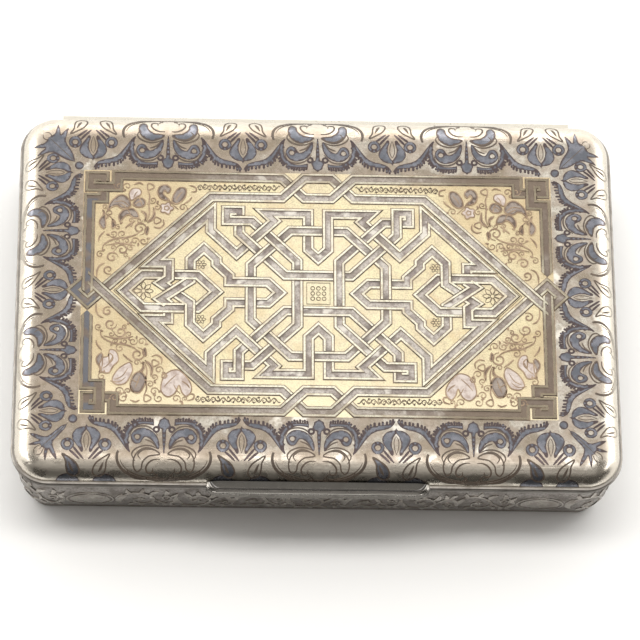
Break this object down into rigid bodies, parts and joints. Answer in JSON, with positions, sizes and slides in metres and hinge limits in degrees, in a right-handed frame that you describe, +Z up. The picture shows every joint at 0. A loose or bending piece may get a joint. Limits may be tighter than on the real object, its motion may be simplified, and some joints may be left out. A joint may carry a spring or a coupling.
{
  "type": "snuff box",
  "caption": "Shallow rectangular silver snuff box with rounded corners, a gilt-panelled niello lid on a knuckle hinge, a moulded thumbpiece and a gilt interior.",
  "frame": {"origin": "on the surface that the box stands on, under the middle of the closed lid", "axes": "+Z up, +X to the right along the hinge and the front's length, -Y towards the front with the thumbpiece"},
  "size_m": [0.0908, 0.0628, 0.0191],
  "materials": {
    "engraved_silver": "engraved silver with a warm tarnish, worn bright on its edges",
    "polished_silver": "polished silver mouldings",
    "wall_silver": "chased and lightly tarnished silver",
    "hinge_silver": "handled silver with dark seams",
    "gilding": "pale fire gilding",
    "niello": "blue-black niello, polished flush"
  },
  "bodies": {
    "base": {"base_plate": "wall_silver", "base_wall": "wall_silver", "base_rim_band": "polished_silver", "base_bezel": "gilding", "base_hinge_leaf": "hinge_silver", "hinge_pin": "hinge_silver", "hinge_plug_left": "hinge_silver", "hinge_plug_right": "hinge_silver", "base_knuckle_1": "hinge_silver", "base_knuckle_2": "hinge_silver", "base_knuckle_3": "hinge_silver", "base_knuckle_4": "hinge_silver", "base_knuckle_5": "hinge_silver"},
    "lid": {"lid_shell": "engraved_silver", "lid_rim_wire": "polished_silver", "lid_hinge_leaf": "hinge_silver", "thumbpiece": "polished_silver", "lid_knuckle_1": "hinge_silver", "lid_knuckle_2": "hinge_silver", "lid_knuckle_3": "hinge_silver", "lid_knuckle_4": "hinge_silver"}
  },
  "joints": [
    {"name": "lid_hinge", "type": "hinge", "parent": "base", "child": "lid", "pos_m": [0, 0.03025, 0.01408], "axis": [-1, 0, 0], "range_deg": [0, 105]}
  ]
}
